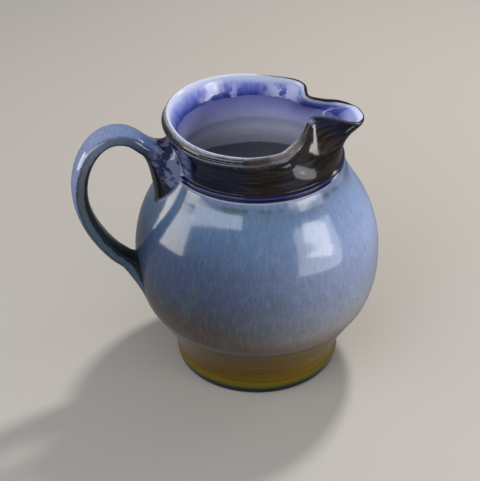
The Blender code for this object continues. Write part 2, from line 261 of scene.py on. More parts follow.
def neck_frames(places):
    """Dense samples up the neck: middle points, outward vectors, and distance below the lip."""
    shares = np.linspace(0.0, 1.0, NECK_SAMPLES)
    middle = neck_middle(places, shares)
    around = (neck_middle(places + PLACE_STEP, shares)
              - neck_middle(places - PLACE_STEP, shares))
    up = neck_middle(places, shares + SHARE_STEP) - neck_middle(places, shares - SHARE_STEP)
    steps = np.linalg.norm(np.diff(middle, axis=0), axis=2)
    climbed = np.concatenate([np.zeros((1, len(places))), np.cumsum(steps, axis=0)])
    return middle, unit(np.cross(around, up)), climbed - climbed[-1]


def spout_share(turn):
    """0 round the rim, 1 at the spout, where the lip is thin and plain, for turns in radians."""
    start, stop = BEAD_ENDS
    share = np.clip((start - np.degrees(np.abs(turn))) / (start - stop), 0.0, 1.0)
    return share * share * (3 - 2 * share)


def up_the_neck(places, side):
    """Rows from the top of the beads to the crest of the lip, on one side of the wall."""
    middle, outward, below = neck_frames(places)
    lip = evenly(smooth(LIP_OUTSIDE if side > 0 else LIP_INSIDE, 90), LIP_ROWS)
    plain = smooth(SPOUT_OUTSIDE, LIP_ROWS) if side > 0 else lip
    turn = np.arctan2(middle[0, :, 1], middle[0, :, 0])
    spout = spout_share(turn)
    rows = []
    for share in np.linspace(0.0, 1.0, NECK_ROWS, endpoint=False):
        depth = below[0] + share * (lip[0, 1] - below[0])
        rings = ripple(NECK_START - depth, turn, *NECK_RINGS) * math.sin(math.pi * share)
        thinning = 1 - SPOUT_THINNING * spout * share
        rows.append((depth, side * NECK_WALL / 2 * thinning + rings))
    for (out, depth), (plain_out, plain_depth) in zip(lip, plain):
        rows.append((depth + (plain_depth - depth) * spout,
                     (out + (plain_out - out) * spout) * (1 - SPOUT_THINNING * spout)))
    grid = np.zeros((len(rows), len(places), 3))
    for row, (depth, out) in enumerate(rows):
        for column in range(len(places)):
            at = [np.interp(depth[column], below[:, column], middle[:, column, k])
                  for k in range(3)]
            way = [np.interp(depth[column], below[:, column], outward[:, column, k])
                   for k in range(3)]
            grid[row, column] = np.array(at) + np.array(way) * out[column]
    return grid


def turned_rows(outline, places, rings=None):
    """A turned outline as rows of points, one column for each place round the rim."""
    toward = unit(at_places(rim_controls(), places)[:, 3:])
    turn = np.arctan2(toward[:, 1], toward[:, 0])
    rows = []
    for radius, height in outline:
        level = radius + (ripple(height, turn, *rings) if rings else 0.0)
        rows.append(np.column_stack([toward * np.reshape(level, (-1, 1)),
                                     np.full(len(places), height)]))
    return np.array(rows)


def outside_grid(places):
    """Underside, foot, belly, beads, neck and the outer half of the lip, in that order."""
    base = [(BASE_RADIUS * share, 0.0) for share in UNDERSIDE_SHARES] + [*CHAMFER]
    band = evenly(smooth(FOOT_OUTLINE, 200), FOOT_ROWS - len(base))
    belly = evenly(smooth(BELLY_OUTLINE, 300), BELLY_ROWS + 1)[1:]
    beads = evenly(smooth(BEAD_OUTLINE, 120), BEAD_ROWS + 1)[1:-1]
    return np.concatenate([
        turned_rows(base, places),
        turned_rows(band, places, FOOT_RINGS),
        turned_rows(belly, places, BELLY_RINGS),
        turned_rows(beads, places),
        up_the_neck(places, 1.0),
    ])


def inside_grid(places):
    """The floor, the inside of the foot, belly and neck, and the inner half of the lip."""
    bowl = evenly(smooth(BOWL_OUTLINE, 300), FOOT_ROWS - 1)
    belly = evenly(smooth([BOWL_OUTLINE[-1], *inner_wall(BELLY_OUTLINE)[1:-1],
                           THROAT_OUTLINE[0]], 300), BELLY_ROWS + 1)[1:]
    throat = smooth(THROAT_OUTLINE, BEAD_ROWS + 1)[1:-1]
    return np.concatenate([
        turned_rows([(0.0, FLOOR_THICKNESS), *bowl], places),
        turned_rows(belly, places, INSIDE_RINGS),
        turned_rows(throat, places),
        up_the_neck(places, -1.0),
    ])


def grid_normals(grid, flip=1.0):
    """Unit normals of a grid whose columns close into a ring."""
    around = np.roll(grid, -1, axis=1) - np.roll(grid, 1, axis=1)
    along = np.gradient(grid, axis=0)
    return flip * unit(np.cross(around, along))


# ---------------------------------------------------------------- meshes


class Surface:
    """Collects the corners and faces of one closed piece, with a normal for each face corner.

    Each corner also carries the named marks, which the materials read as attributes.
    """

    def __init__(self, *mark_names):
        self.mark_names = mark_names
        self.index = {}
        self.points = []
        self.marks = []
        self.faces = []
        self.normals = []
        self.slots = []

    def corner(self, key, point, *marks):
        if key not in self.index:
            self.index[key] = len(self.points)
            self.points.append(point)
            self.marks.append(marks)
        return self.index[key]

    def face(self, corners, normals, slot=0):
        """Adds a face, dropping repeated corners. With no normals it is flat."""
        kept = [k for k in range(len(corners)) if corners[k] not in corners[:k]]
        if len(kept) < 3:
            return
        ids = [corners[k] for k in kept]
        if normals is None:
            a, b, c = (np.array(self.points[i]) for i in ids[:3])
            flat = unit(np.cross(b - a, c - a))
            normals = [flat] * len(corners)
        self.faces.append(ids)
        self.normals.extend(normals[k] for k in kept)
        self.slots.append(slot)

    def build(self, name, materials):
        mesh = bpy.data.meshes.new(name)
        mesh.from_pydata((np.array(self.points) * MM).tolist(), [], self.faces)
        for name_of_mark, values in zip(self.mark_names, zip(*self.marks)):
            mesh.attributes.new(name_of_mark, "FLOAT", "POINT").data.foreach_set("value", values)
        mesh.polygons.foreach_set("material_index", self.slots)
        for material in materials:
            mesh.materials.append(material)
        mesh.shade_smooth()
        mesh.normals_split_custom_set([tuple(n) for n in self.normals])
        made = bpy.data.objects.new(name, mesh)
        bpy.context.scene.collection.objects.link(made)
        return made


class Pot:
    """The thrown pot: two matching grids of points, outside and inside, that meet at the lip."""

    def __init__(self):
        count = len(rim_controls())
        self.places = np.arange(count * COLUMNS_PER_POINT) / COLUMNS_PER_POINT
        self.sides = [outside_grid(self.places), inside_grid(self.places)]
        self.normals = [grid_normals(self.sides[0]), grid_normals(self.sides[1], -1.0)]
        self.top = len(self.sides[0]) - 1
        self.normals[0][0] = (0, 0, -1)
        self.normals[1][0] = (0, 0, 1)
        crest = unit(self.normals[0][self.top] + self.normals[1][self.top])
        self.normals[0][self.top] = self.normals[1][self.top] = crest
        self.from_crest = [self.crest_distance(0), -self.crest_distance(1)]
        toward = at_places(rim_controls(), self.places)[:, 3:]
        self.spout = spout_share(np.arctan2(toward[:, 1], toward[:, 0]))

    def crest_distance(self, side):
        """How far each point lies below the crest of the lip, along the surface."""
        steps = np.linalg.norm(np.diff(self.sides[side], axis=0), axis=2)
        climbed = np.concatenate([np.zeros((1, steps.shape[1])), np.cumsum(steps, axis=0)])
        return climbed[-1] - climbed

    def corner(self, surface, row, column, side):
        column %= len(self.places)
        if row == self.top:
            side = 0
        if row == 0:
            column = 0
        return surface.corner((row, column, side), self.sides[side][row, column],
                              self.from_crest[side][row, column], self.spout[column])

    def piece(self, name, cells, materials):
        """A closed wall over the given (row, column) cells: one material outside, one inside."""
        surface = Surface("from_crest", "spout")
        columns = len(self.places)
        edges = set()
        for row, column in cells:
            spots = ((row, column), (row, column + 1), (row + 1, column + 1), (row + 1, column))
            for side in (0, 1):
                walk = spots if side == 0 else spots[::-1]
                corners = [self.corner(surface, r, c, side) for r, c in walk]
                normals = [self.normals[side][r, c % columns] for r, c in walk]
                surface.face(corners, normals, side)
            for k in range(4):
                ends = tuple((r, c % columns) for r, c in (spots[k], spots[(k + 1) % 4]))
                if ends[::-1] in edges:
                    edges.remove(ends[::-1])
                else:
                    edges.add(ends)
        for (a, b), (c, d) in sorted(edges):
            corners = [self.corner(surface, a, b, 0), self.corner(surface, a, b, 1),
                       self.corner(surface, c, d, 1), self.corner(surface, c, d, 0)]
            surface.face(corners, None, 1)
        return surface.build(name, materials)

    def radius(self, turn, height):
        """The outside radius of the pot in a direction, in radians, at a height."""
        widest = self.sides[0][WIDE_ROW]
        toward = np.arctan2(widest[:, 1], widest[:, 0]) % (2 * math.pi)
        order = np.argsort(toward)
        grid = self.sides[0][LOWEST_ROW:self.top - LIP_ROWS]
        out = []
        for angle, level in zip(np.ravel(turn) % (2 * math.pi), np.ravel(height)):
            after = int(np.searchsorted(toward[order], angle)) % len(order)
            pair = (order[after - 1], order[after])
            radii = [np.interp(level, grid[:, c, 2], np.hypot(grid[:, c, 0], grid[:, c, 1]))
                     for c in pair]
            gap = (toward[pair[1]] - toward[pair[0]]) % (2 * math.pi)
            share = ((angle - toward[pair[0]]) % (2 * math.pi)) / gap
            out.append(radii[0] + (radii[1] - radii[0]) * share)
        return np.array(out)


# ---------------------------------------------------------------- the handle as rings of points


def strap_line():
    """Points along the middle of the strap, and the unit vectors along it."""
    path = evenly(smooth(HANDLE_PATH, 400), HANDLE_ROWS)
    points = np.column_stack([-path[:, 0], np.zeros(len(path)), path[:, 1]])
    return points, unit(np.gradient(points, axis=0))


def strap_rings():
    """The pulled strap: a flattened oval at each point along its middle."""
    across = squared(np.sin(STRAP_TURNS), STRAP_SQUARENESS)
    through = squared(np.cos(STRAP_TURNS), STRAP_SQUARENESS)
    points, along = strap_line()
    rings = []
    for centre, way in zip(points, along):
        outside = np.array([way[2], 0.0, -way[0]])
        rings.append(centre + across[:, None] * np.array([0.0, STRAP_WIDTH / 2, 0.0])
                     + through[:, None] * outside * STRAP_THICKNESS / 2)
    return np.array(rings), along


def join_rings(pot, end_ring, along, middle, half_height, half_width, reach):
    """Rings from the end of the strap to the wall of the pot, then hidden ones against the wall."""

    def on_pot(share, sink):
        height = middle + share * half_height * np.cos(STRAP_TURNS)
        tapered = half_width * (1 + JOIN_TAPER * (height - middle) / abs(half_height))
        facing = pot.radius(np.full(STRAP_COLUMNS, math.pi), height)
        swing = share * tapered * np.sin(STRAP_TURNS) / facing
        radius = pot.radius(math.pi - swing, height) - sink
        return np.stack([-radius * np.cos(swing), radius * np.sin(swing), height], 1)

    foot = on_pot(1.0, JOIN_SINK)
    into = (on_pot(1.0 + JOIN_SPREAD, JOIN_SINK) - foot) * reach[1]
    rings = []
    for t in np.linspace(0.0, 1.0, JOIN_ROWS)[1:]:
        rings.append((2 * t**3 - 3 * t**2 + 1) * end_ring
                     + (t**3 - 2 * t**2 + t) * along * reach[0]
                     + (3 * t**2 - 2 * t**3) * foot + (t**3 - t**2) * into)
    hidden = [on_pot(share, HIDDEN_SINK) for share in JOIN_HIDDEN_SHARES]
    return np.array(rings), np.array(hidden)


def tube_piece(name, rings, normals, along, materials):
    """A closed tube with the given normals and marks along it. The ends are flat caps."""
    surface = Surface("along_strap", "at_pot", "round_strap", "across_strap")
    rows, columns = rings.shape[:2]
    for row in range(rows - 1):
        for column in range(columns):
            walk = ((row, column), (row, (column + 1) % columns),
                    (row + 1, (column + 1) % columns), (row + 1, column))
            corners = [surface.corner(spot, rings[spot], *along[spot[0]],
                                      math.cos(STRAP_TURNS[spot[1]]),
                                      math.sin(STRAP_TURNS[spot[1]])) for spot in walk]
            surface.face(corners, [normals[spot] for spot in walk])
    for row, order in ((0, range(columns - 1, -1, -1)), (rows - 1, range(columns))):
        surface.face([surface.corner((row, c), rings[row, c]) for c in order], None)
    return surface.build(name, materials)


def make_handle(pot, material):
    strap, along = strap_rings()
    upper, upper_hidden = join_rings(pot, strap[0], -along[0], *UPPER_JOIN)
    lower, lower_hidden = join_rings(pot, strap[-1], along[-1], *LOWER_JOIN)
    rings = np.concatenate([upper[::-1], strap, lower])
    normals = grid_normals(rings)
    steps = np.linalg.norm(np.diff(rings.mean(axis=1), axis=0), axis=1)
    run = np.concatenate([[0.0], np.cumsum(steps)])
    run -= run[len(upper)]
    first, last = len(upper), len(upper) + len(strap)
    at_pot = np.concatenate([np.linspace(1, 0, first), np.zeros(last - first),
                             np.linspace(0, 1, len(lower))])
    marks_of_row = np.stack([run, at_pot], 1)

    def part(name, rows, hidden_before=None, hidden_after=None):
        grid, ways, marks = rings[rows], normals[rows], marks_of_row[rows]
        if hidden_before is not None:
            grid = np.concatenate([hidden_before[::-1], grid])
            ways = np.concatenate([np.repeat(ways[:1], len(hidden_before), 0), ways])
            marks = np.concatenate([np.repeat(marks[:1], len(hidden_before), 0), marks])
        if hidden_after is not None:
            grid = np.concatenate([grid, hidden_after])
            ways = np.concatenate([ways, np.repeat(ways[-1:], len(hidden_after), 0)])
            marks = np.concatenate([marks, np.repeat(marks[-1:], len(hidden_after), 0)])
        return tube_piece(name, grid, ways, marks, [material])

    return [part("upper_join", slice(0, first + 1), hidden_before=upper_hidden),
            part("strap", slice(first, last)),
            part("lower_join", slice(last - 1, len(rings)), hidden_after=lower_hidden)]


# ---------------------------------------------------------------- materials


def screen(red, green, blue):
    """A colour given as a screen shows it, from 0 to 255, as the linear values a shader takes."""
    return tuple(v / 12.92 if v <= 0.04045 else ((v + 0.055) / 1.055) ** 2.4
                 for v in (red / 255, green / 255, blue / 255))


class Glaze:
    """A glossy ceramic material. Each method adds a node and gives back its output.

    Lengths in the nodes are millimetres, measured in the object's own frame.
    """

    def __init__(self, name, roughness):
        self.material = bpy.data.materials.new(name)
        self.material.use_nodes = True
        self.tree = self.material.node_tree
        self.shader = self.tree.nodes["Principled BSDF"]
        self.shader.inputs["Roughness"].default_value = roughness
        place = self.node("ShaderNodeTexCoord").outputs["Object"]
        split = self.node("ShaderNodeSeparateXYZ", place)
        self.x, self.y, self.z = (self.times(output, 1 / MM) for output in split.outputs)
        self.radius = self.math("SQRT", self.plus(self.times(self.x, self.x),
                                                  self.times(self.y, self.y)))

    def node(self, kind, *inputs, **settings):
        made = self.tree.nodes.new(kind)
        for key, value in settings.items():
            setattr(made, key, value)
        for socket, value in zip(made.inputs, inputs):
            self.put(socket, value)
        return made

    def put(self, socket, value):
        if isinstance(value, bpy.types.NodeSocket):
            self.tree.links.new(value, socket)
        elif value is not None:
            if socket.type == "RGBA":
                value = (*value[:3], 1.0)
            socket.default_value = value

    def math(self, operation, *values):
        return self.node("ShaderNodeMath", *values, operation=operation).outputs[0]

    def times(self, a, b):
        return self.math("MULTIPLY", a, b)

    def plus(self, a, b):
        return self.math("ADD", a, b)

    def mark(self, name):
        return self.node("ShaderNodeAttribute", attribute_name=name).outputs["Fac"]

    def join(self, x, y, z):
        return self.node("ShaderNodeCombineXYZ", x, y, z).outputs[0]

    def fade(self, value, low, high):
        """0 where the value is at `low`, 1 where it is at `high`, smooth between."""
        made = self.node("ShaderNodeMapRange", value, low, high, 0.0, 1.0,
                         interpolation_type="SMOOTHSTEP")
        return made.outputs[0]

    def band(self, value, middle, half_width):
        """1 at `middle`, falling smoothly to 0 on both sides."""
        away = self.math("ABSOLUTE", self.plus(value, -middle))
        return self.fade(away, half_width, 0.0)

    def mix(self, share, first, second):
        made = self.node("ShaderNodeMix", data_type="RGBA")
        self.put(made.inputs["Factor"], share)
        self.put(made.inputs[6], first)
        self.put(made.inputs[7], second)
        return made.outputs[2]

    def ramp(self, value, *stops):
        """A colour for each value, blended between the (value, colour) stops."""
        low, high = stops[0][0], stops[-1][0]
        share = self.node("ShaderNodeMapRange", value, low, high, 0.0, 1.0).outputs[0]
        made = self.node("ShaderNodeValToRGB", share)
        elements = made.color_ramp.elements
        for at, _ in stops[1:-1]:
            elements.new((at - low) / (high - low))
        for element, (_, colour) in zip(elements, stops):
            element.color = (*colour, 1.0)
        return made.outputs[0]

    def noise(self, vector, detail=2.0, roughness=0.5, lift=0.0):
        """Cloudy noise from 0 to 1, one feature to a unit of the vector."""
        made = self.node("ShaderNodeTexNoise", vector, None, 1.0, detail, roughness)
        if lift:
            return self.plus(made.outputs["Fac"], lift)
        return made.outputs["Fac"]

    def round_the_pot(self, turns, up):
        """A vector that winds round the axis: `turns` features to a radian, `up` to a millimetre."""
        return self.join(self.times(self.math("DIVIDE", self.x, self.radius), turns),
                         self.times(self.math("DIVIDE", self.y, self.radius), turns),
                         self.times(self.z, up))

    def block(self, size, stretch=1.0):
        """A vector for noise whose features are `size` millimetres across, and taller by `stretch`."""
        return self.join(self.times(self.x, 1 / size), self.times(self.y, 1 / size),
                         self.times(self.z, 1 / (size * stretch)))

    def azimuth(self):
        """Degrees round the axis from the spout, positive towards +Y."""
        return self.times(self.math("ARCTAN2", self.y, self.x), 180 / math.pi)

    def near(self, point, radius):
        """1 at a point in millimetres, falling smoothly to 0 at a radius."""
        here = self.join(self.x, self.y, self.z)
        away = self.node("ShaderNodeVectorMath", here, point, operation="DISTANCE")
        return self.fade(away.outputs["Value"], radius, 0.3 * radius)

    def specks(self, size, share):
        """Scattered round dots. `share` is the radius of the largest against their spacing."""
        made = self.node("ShaderNodeTexVoronoi", self.block(size), None, 1.0)
        keep = self.node("ShaderNodeSeparateColor", made.outputs["Color"]).outputs[0]
        edge = self.times(keep, share)
        return self.fade(self.math("SUBTRACT", made.outputs["Distance"], edge), 0.04, -0.04)

    def uneven(self, height, depth):
        """Shades the surface as if a height of 1 stood `depth` millimetres proud of it."""
        bump = self.node("ShaderNodeBump")
        bump.inputs["Distance"].default_value = depth * MM
        self.put(bump.inputs["Height"], height)
        self.put(self.shader.inputs["Normal"], bump.outputs[0])

    def finish(self, colour):
        self.put(self.shader.inputs["Base Color"], colour)
        return self.material


def hares_fur(glaze):
    """Fine streaks that the melted glaze leaves as it runs down the wall, from 0 to 1."""
    fine = glaze.noise(glaze.round_the_pot(140.0, 1.10), 3.0, 0.75)
    broad = glaze.noise(glaze.round_the_pot(36.0, 0.16), 2.0, 0.6)
    return glaze.plus(glaze.times(fine, 0.6), glaze.times(broad, 0.4))


def spout_side(glaze):
    """0 towards the handle, 1 towards the spout."""
    along = glaze.plus(glaze.times(glaze.x, 0.89), glaze.times(glaze.y, 0.1))
    return glaze.fade(along, -52.0, 66.0)


def belly_glaze():
    """Milky blue over a darker body, in fine streaks. Its colour holds painted light: darker on the
    handle side as painted shade, paler on the spout side as painted light, and warm brown to
    lilac-grey above the foot as painted light bounced up from below.
    """
    glaze = Glaze("blue_glaze", 0.13)
    side = spout_side(glaze)
    # Glaze colour with painted shade: the handle side is darker, and warm brown low down as painted
    # bounce light.
    handle_half_painted_shade = glaze.ramp(
        glaze.z, (39.0, screen(60, 42, 14)), (46.0, screen(62, 46, 30)),
        (54.0, screen(62, 50, 38)), (62.0, screen(54, 50, 46)), (80.0, screen(48, 56, 74)),
        (100.0, screen(50, 64, 90)), (118.0, screen(66, 90, 120)),
        (130.0, screen(70, 92, 116)), (135.0, screen(84, 100, 128)))
    # Glaze colour with painted light: the spout side is paler, and lilac-grey to brown low down as
    # painted bounce light.
    spout_half_painted_light = glaze.ramp(
        glaze.z, (39.0, screen(112, 86, 52)), (46.0, screen(130, 116, 106)),
        (54.0, screen(146, 144, 148)), (62.0, screen(138, 144, 158)), (80.0, screen(132, 142, 170)),
        (100.0, screen(132, 146, 180)), (118.0, screen(116, 134, 170)),
        (130.0, screen(96, 112, 140)), (135.0, screen(106, 120, 150)))
    colour = glaze.mix(side, handle_half_painted_shade, spout_half_painted_light)
    fur = hares_fur(glaze)
    deep = glaze.mix(0.5, colour, screen(44, 50, 80))
    pale = glaze.mix(0.10, colour, screen(176, 190, 222))
    colour = glaze.mix(glaze.times(glaze.fade(fur, 0.46, 0.62), 0.5), colour, deep)
    colour = glaze.mix(glaze.times(glaze.fade(fur, 0.52, 0.34), 0.55), colour, pale)
    clouds = glaze.noise(glaze.block(11.0, 1.6), 3.0, 0.6)
    green = glaze.times(glaze.fade(clouds, 0.52, 0.68), glaze.fade(side, 0.62, 0.15))
    colour = glaze.mix(glaze.times(green, 0.30), colour, screen(56, 80, 70))
    ring = glaze.times(glaze.band(glaze.z, 132.0, 2.4), glaze.fade(clouds, 0.36, 0.56))
    colour = glaze.mix(glaze.times(ring, 0.65), colour, screen(46, 60, 56))
    colour = glaze.mix(glaze.times(glaze.specks(8.0, 0.07), 0.7), colour, screen(36, 42, 54))
    wavy = glaze.times(glaze.noise(glaze.block(14.0), 1.0), 0.12)
    full_shoulder = glaze.times(glaze.band(glaze.z, 122.0, 14.0), 1.2)  # where the glaze pools
    glaze.uneven(glaze.plus(wavy, full_shoulder), 1.0)
    return glaze.finish(colour)


def neck_streaks(glaze):
    """Bands that the wheel drew round the neck, from 0 to 1."""
    return glaze.noise(glaze.round_the_pot(2.6, 0.75), 4.0, 0.62)


def neck_rings(glaze):
    """The two turned rings at the foot of the neck: pale on their ridges, black between them."""
    return glaze.ramp(
        glaze.z, (135.0, screen(128, 134, 162)), (136.1, screen(132, 138, 174)),
        (136.8, screen(14, 14, 24)), (138.2, screen(8, 8, 14)), (138.6, screen(40, 46, 100)),
        (139.1, screen(46, 52, 112)), (139.8, screen(18, 20, 48)), (141.4, screen(8, 9, 18)))


def below_crest(glaze):
    """Millimetres down from the crest of the lip, a little uneven, and negative on the inside."""
    waver = glaze.noise(glaze.block(6.0), 2.0, 0.5, -0.5)
    return glaze.plus(glaze.mark("from_crest"), glaze.times(waver, 0.9))


def lip_outside(glaze, edge):
    """The rolled lip: a pale crest, a black groove, a grey-blue bead, black again under it, where the
    black is pooled glaze with painted shade. On the spout the lip is plain and dark, with a painted
    highlight just under its crest.
    """
    azimuth = glaze.azimuth()
    back = glaze.fade(glaze.math("ABSOLUTE", azimuth), 115.0, 150.0)
    # The black below 5.8 mm stands partly for shade under the rolled lip.
    rolled = glaze.ramp(
        glaze.plus(edge, glaze.times(back, -0.9)), (-1.0, screen(142, 144, 158)),
        (0.3, screen(134, 137, 150)), (1.2, screen(72, 75, 84)), (1.9, screen(13, 15, 20)),
        (4.0, screen(13, 16, 22)), (4.5, screen(72, 80, 102)), (5.2, screen(56, 62, 78)),
        (5.8, screen(7, 8, 11)), (9.0, screen(7, 7, 12)))
    beige = glaze.times(glaze.fade(azimuth, -96.0, -92.0), glaze.fade(azimuth, -56.0, -72.0))
    bare = glaze.times(glaze.fade(azimuth, -114.0, -102.0), glaze.fade(azimuth, -90.0, -97.0))
    rolled = glaze.mix(glaze.times(bare, 0.6), rolled, screen(58, 46, 38))
    wide = glaze.times(beige, glaze.fade(edge, 5.2, 4.6))
    rolled = glaze.mix(glaze.times(wide, 0.45), rolled, screen(116, 106, 98))
    grain = glaze.noise(glaze.block(1.2), 3.0, 0.65)
    rolled = glaze.mix(glaze.times(glaze.fade(grain, 0.46, 0.60), 0.6), rolled,
                       screen(62, 60, 66))
    # On the spout, the lighter band 1.6 mm under the crest is a painted highlight.
    plain = glaze.ramp(edge, (-0.6, screen(20, 19, 22)), (0.9, screen(24, 22, 26)),
                       (1.6, screen(58, 54, 56)), (3.0, screen(34, 30, 32)))
    return glaze.mix(glaze.mark("spout"), rolled, plain)


def neck_bands(glaze, streaks):
    """Navy beside the handle, brown in the middle, slate before the spout, navy on its flank. The
    slate low on the neck is partly glaze streaks and partly a painted soft reflection.
    """
    navy = glaze.ramp(streaks, (0.30, screen(2, 3, 6)), (0.50, screen(5, 8, 24)),
                      (0.70, screen(18, 26, 58)))
    brown = glaze.ramp(streaks, (0.30, screen(4, 3, 3)), (0.48, screen(13, 10, 8)),
                       (0.60, screen(34, 25, 17)), (0.74, screen(30, 34, 50)))
    slate = glaze.ramp(streaks, (0.30, screen(12, 13, 18)), (0.48, screen(34, 36, 48)),
                       (0.60, screen(46, 40, 38)), (0.74, screen(56, 64, 92)))
    azimuth = glaze.azimuth()
    colour = glaze.mix(glaze.fade(azimuth, -128.0, -100.0), navy, brown)
    # Painted reflection: the slate low on the neck before the spout stands partly for a soft
    # reflection, over slate streaks in the glaze.
    right = glaze.times(glaze.band(azimuth, -74.0, 20.0), glaze.fade(glaze.z, 162.0, 152.0))
    colour = glaze.mix(glaze.times(right, 0.8), colour, slate)
    flank = glaze.times(glaze.fade(azimuth, -32.0, -20.0), glaze.fade(glaze.z, 148.0, 156.0))
    colour = glaze.mix(glaze.times(flank, 0.8), colour, navy)
    beside_join = glaze.times(glaze.band(azimuth, -156.0, 9.0),
                              glaze.fade(streaks, 0.62, 0.48))
    return glaze.mix(glaze.times(beside_join, 0.8), colour, screen(92, 100, 142))


def neck_glaze():
    """Streaked navy, brown and black on the neck and the lip, pale where it breaks on the edge."""
    glaze = Glaze("dark_glaze", 0.11)
    glaze.shader.inputs["Specular IOR Level"].default_value = 0.4
    streaks = neck_streaks(glaze)
    colour = neck_bands(glaze, streaks)
    colour = glaze.mix(glaze.fade(glaze.z, 141.6, 140.6), colour, neck_rings(glaze))
    edge = below_crest(glaze)
    lip_ends = glaze.plus(9.0, glaze.times(glaze.mark("spout"), -6.0))
    on_lip = glaze.fade(glaze.math("SUBTRACT", edge, lip_ends), 0.4, -0.8)
    colour = glaze.mix(on_lip, colour, lip_outside(glaze, edge))
    # A pale-blue patch at the near fold of the spout: pooled glaze with a painted highlight on it.
    pool_and_painted_sheen = glaze.times(glaze.near((28.0, -14.0, 162.5), 4.5), glaze.fade(streaks, 0.62, 0.45))
    colour = glaze.mix(glaze.times(pool_and_painted_sheen, 0.6), colour, screen(110, 128, 160))
    glaze.uneven(glaze.noise(glaze.block(14.0), 1.0), 0.08)
    return glaze.finish(colour)


def inner_glaze():
    """The inside: violet-blue down to a crease, then grey-violet, then dark slate at the bottom. The
    crisp step to dark slate is a painted shadow of the near rim, and the violet darkens next to the
    crease as painted shade.
    """
    glaze = Glaze("inner_glaze", 0.09)
    mottle = glaze.noise(glaze.block(1.2), 3.0, 0.65)
    runs = glaze.noise(glaze.round_the_pot(34.0, 0.16), 3.0, 0.6)
    level = glaze.plus(glaze.z, glaze.times(glaze.noise(glaze.block(9.0), 2.0, 0.5, -0.5), 2.4))
    # Painted shadow: pale above 114 mm and dark slate below, standing in for the near rim's shadow on
    # the far wall; darker again towards the crease as painted shade.
    body = glaze.ramp(
        level, (60.0, screen(126, 130, 140)), (113.2, screen(134, 136, 148)),
        (114.8, screen(214, 216, 226)), (130.0, screen(196, 198, 216)),
        (140.0, screen(152, 154, 188)), (147.0, screen(118, 121, 168)),
        (151.6, screen(92, 97, 150)))
    body = glaze.mix(glaze.times(glaze.fade(mottle, 0.50, 0.66), 0.25), body, screen(96, 98, 130))
    # Painted shade: the collar's violet is darkest next to the crease and pales towards the lip.
    collar = glaze.ramp(
        glaze.plus(glaze.z, glaze.times(runs, -7.0)), (148.0, screen(36, 42, 100)),
        (150.5, screen(50, 58, 130)), (154.5, screen(92, 102, 170)),
        (158.5, screen(140, 150, 196)))
    # Painted reflections: two pale patches on the collar stand in for windows reflected in it.
    pools = glaze.noise(glaze.block(7.0), 2.0)
    pool_and_painted_sheen = glaze.math("MAXIMUM", glaze.near((27.0, 38.0, 158.0), 18.0),
                        glaze.times(glaze.near((-9.0, 46.0, 155.0), 13.0), 0.8))
    pale = glaze.times(pool_and_painted_sheen, glaze.fade(pools, 0.42, 0.52))
    collar = glaze.mix(glaze.times(pale, 0.8), collar, screen(180, 186, 218))
    colour = glaze.mix(glaze.fade(level, 152.2, 152.9), body, collar)
    tip = glaze.near((60.0, 1.0, 155.0), 13.0)
    colour = glaze.mix(glaze.times(tip, 0.40), colour, screen(164, 170, 196))
    edge = below_crest(glaze)
    lip = glaze.ramp(edge, (-4.5, screen(156, 166, 204)), (-2.4, screen(172, 178, 204)),
                     (-1.4, screen(164, 168, 186)), (-0.9, screen(168, 172, 190)))
    colour = glaze.mix(glaze.fade(edge, -6.0, -3.5), colour, lip)
    rim_line = glaze.times(glaze.fade(edge, -1.2, -0.8), glaze.mark("spout"))
    colour = glaze.mix(rim_line, colour, screen(24, 22, 26))
    glaze.uneven(glaze.noise(glaze.block(6.0), 1.0), 0.10)
    return glaze.finish(colour)


def foot_glaze():
    """Thin olive glaze over dark clay, with a soft pale roll near the bottom."""
    glaze = Glaze("olive_glaze", 0.16)
    glaze.shader.inputs["Specular IOR Level"].default_value = 0.25
    lines = glaze.noise(glaze.round_the_pot(1.2, 1.1), 3.0, 0.6)
    side = spout_side(glaze)
    # Painted light: the olive is lighter towards the spout and darker towards the handle, as on the
    # belly.
    olive = glaze.mix(side, screen(84, 62, 0), screen(116, 92, 0))
    colour = glaze.mix(glaze.times(glaze.fade(lines, 0.35, 0.65), 0.7), olive, screen(62, 44, 2))
    roll = glaze.ramp(glaze.z, (1.0, screen(16, 18, 24)), (3.4, screen(24, 28, 26)),
                      (5.2, screen(66, 66, 24)), (7.0, screen(82, 72, 14)),
                      (9.5, screen(76, 60, 2)))
    colour = glaze.mix(glaze.fade(glaze.z, 10.5, 8.5), colour, roll)
    colour = glaze.mix(glaze.fade(glaze.z, 37.4, 39.4), colour, screen(56, 44, 26))
    glaze.uneven(lines, 0.10)
    return glaze.finish(colour)


